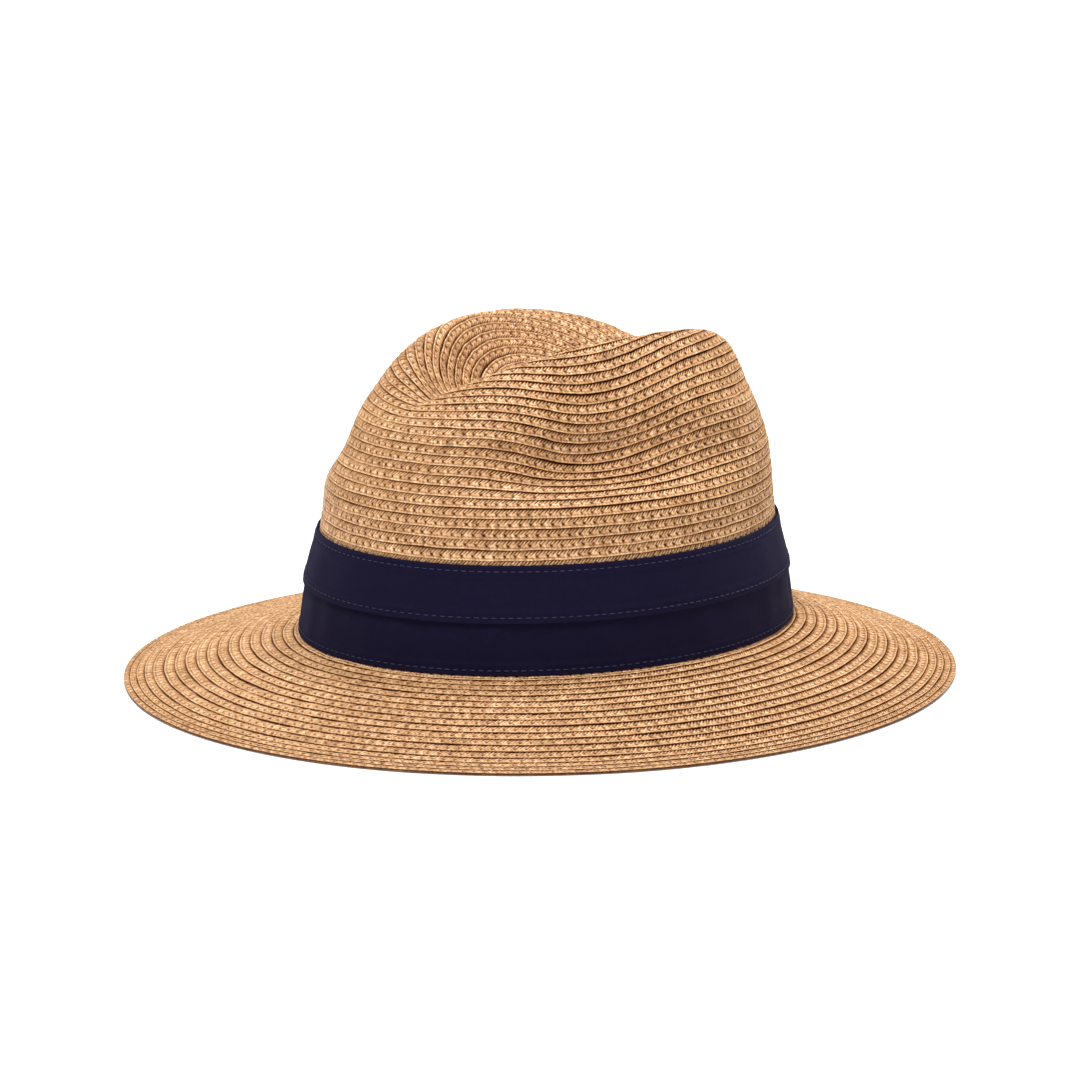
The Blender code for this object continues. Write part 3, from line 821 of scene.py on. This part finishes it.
def build_sweatband(wall):
    cotton = cloth_material("sweatband_twill", (0.50, 0.42, 0.31), (0.68, 0.60, 0.47), 0.8, 0.9, 0.1, 0.93)
    thread = thread_material("tan_thread", (0.42, 0.27, 0.14), (0.62, 0.43, 0.25))
    tape = cloth_material("label_weave", (0.66, 0.64, 0.60), (0.82, 0.80, 0.76), 0.5, 0.7, 0.1, 0.95)
    stitch = SWEAT_STITCH_HEIGHT
    band = Strip(
        wall, SWEAT_LOW, SWEAT_TOP, 2.1, SWEAT_THICK, belly=0.3, stitches=(stitch,), ripple=0.25, side=-1.0
    )
    band_piece = band.mesh("sweatband_ribbon", cotton, "sweatband_cotton", "sweatband")

    def stitched(run):
        return band.face(run, stitch)

    dashes("sweatband_stitches", stitched, band.length, thread, "sweatband_stitching")
    join = Strip(
        wall,
        SWEAT_LOW + 0.5,
        SWEAT_TOP - 0.5,
        inside=3.55,
        thick=0.5,
        half=math.degrees(TAPE_HALF_WIDTH / BAND_OVAL[1]),
        side=-1.0,
        side_drop=0.35,
        ripple=0.03,
    )
    join_piece = join.mesh("sweatband_join", cotton, "sweatband_cotton", "sweatband_join_tape", step=0.3)
    label = Strip(
        wall,
        LABEL_LOW,
        LABEL_TOP,
        inside=3.35,
        thick=0.35,
        middle=LABEL_ANGLE,
        half=math.degrees(LABEL_HALF_WIDTH / BAND_OVAL[1]),
        side=-1.0,
        ripple=0.05,
    )
    label_piece = label.mesh("blank_size_label", tape, "label_tape", "size_label", step=0.3)


EDGE_STITCH_INSET = 4.0


def build_edge(brim, straw):
    """The turned row, its stitches, and finer steel for the frame's own wire and sleeve."""
    build_turned_edge(straw)
    thread = thread_material("straw_thread_lustre", (0.42, 0.235, 0.11), (0.60, 0.37, 0.19))
    rise = EDGE_STITCH_INSET / float(np.interp(90.0, TURNS, brim.length))
    reach = reach_of(brim.at(TURNS, rise)[0])

    def at(run):
        return brim.at(np.interp(run, reach, TURNS), rise)

    dashes(
        "edge_stitches",
        at,
        reach[-1],
        thread,
        "brim_edge_stitching",
        radius=0.17,
        lift=-0.12,
        sink=0.2,
    )
    steel = steel_material()
    for node in ("brim_edge_wire", "wire_joint_sleeve"):
        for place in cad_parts[node].material_slots:
            place.material = steel


# ---------------------------------------------------------------- stage

AZIMUTH, ELEVATION, DISTANCE = 49.0, 12.43, 1686.0
LENS, SENSOR = 143.3, 36.0
TARGET = Vector((0.0, 4.2, 45.0))
AIM_LEFT, AIM_UP = 3.92, 4.31  # from the target to the middle of the frame
LAMP_DISTANCE = 2.2
FLOOR_HALF, FLOOR_DROP = 9.0, 0.0002
# the floor's painted shadow round the hat fades out between these distances
SHADE_REACH = (0.16, 0.50)  # metres from the hat's middle, where the floor's glow starts to rise and is whole


def directions():
    """The camera's right, the way back to it, and its up."""
    turn, lift = math.radians(AZIMUTH), math.radians(ELEVATION)
    right = Vector((math.cos(turn), math.sin(turn), 0.0))
    back = Vector((math.sin(turn) * math.cos(lift), -math.cos(turn) * math.cos(lift), math.sin(lift)))
    return right, back, back.cross(right)


def build_camera():
    right, back, up = directions()
    aim = TARGET - right * AIM_LEFT + up * AIM_UP
    camera = bpy.data.cameras.new("camera")
    camera.lens, camera.sensor_width = LENS, SENSOR
    camera.clip_start, camera.clip_end = 0.05, 60.0
    made = bpy.data.objects.new("camera", camera)
    turned = Matrix((right, up, back)).transposed().to_4x4()
    made.matrix_world = Matrix.Translation((aim + back * DISTANCE) * MM) @ turned
    bpy.context.scene.collection.objects.link(made)
    bpy.context.scene.camera = made


def build_light(name, towards, size, power):
    lamp = bpy.data.lights.new(name, "AREA")
    lamp.shape, lamp.size, lamp.energy = "DISK", size, power
    made = bpy.data.objects.new(name, lamp)
    way = towards.normalized()
    turned = way.to_track_quat("Z", "Y").to_matrix().to_4x4()
    made.matrix_world = Matrix.Translation(TARGET * MM + way * LAMP_DISTANCE) @ turned
    bpy.context.scene.collection.objects.link(made)


def build_floor():
    """White paper that glows, with a painted shadow: its glow is weaker round the hat."""
    mesh = bpy.data.meshes.new("floor")
    corners = [(x * FLOOR_HALF, y * FLOOR_HALF, 0) for x, y in ((-1, -1), (1, -1), (1, 1), (-1, 1))]
    mesh.from_pydata(corners, [], [(0, 1, 2, 3)])
    floor = bpy.data.objects.new("floor", mesh)
    floor.location.z = -FLOOR_DROP
    bpy.context.scene.collection.objects.link(floor)
    paper = Shader("white_paper", 0.9, 0.1)
    grain = paper.noise(6.0, 2.0)
    paper.colour(paper.ramp(grain, (0.3, (0.90, 0.90, 0.90)), (0.7, (0.93, 0.93, 0.93))))
    away = paper.add("ShaderNodeVectorMath", {0: paper.place()}, operation="LENGTH").outputs["Value"]
    # the glow is dimmed near the hat as a painted shadow
    glow_with_painted_shadow = paper.ramp(away, (SHADE_REACH[0], (0.30, 0.30, 0.30)), (SHADE_REACH[1], WHITE))
    paper.tree.links.new(glow_with_painted_shadow, paper.out.inputs["Emission Color"])
    paper.out.inputs["Emission Strength"].default_value = 0.70
    mesh.materials.append(paper.material)


def build_lighting():
    right, back, _ = directions()
    up = Vector((0.0, 0.0, 1.0))
    build_light("key", back * 0.45 - right * 0.20 + up * 1.4, 0.6, 47.0)
    build_light("fill", back * 0.8 + right * 1.0 + up * 0.5, 1.4, 5.0)
    build_light("top", back * -0.5 + right * 0.3 + up * 1.5, 0.7, 26.0)
    world = bpy.data.worlds.new("studio")
    world.use_nodes = True
    world.node_tree.nodes["Background"].inputs["Color"].default_value = (*WHITE, 1.0)
    world.node_tree.nodes["Background"].inputs["Strength"].default_value = 0.36
    scene = bpy.context.scene
    scene.world = world
    scene.view_settings.view_transform = "Standard"


def main():
    build_camera()
    crown, brim, wall = crown_surface(), brim_surface(), wall_surface()
    straw = straw_material()
    build_braid(crown, brim, straw)
    build_crown_middle(crown, straw)
    build_edge(brim, straw)
    build_band(wall)
    build_sweatband(wall)
    build_floor()
    build_lighting()


main()
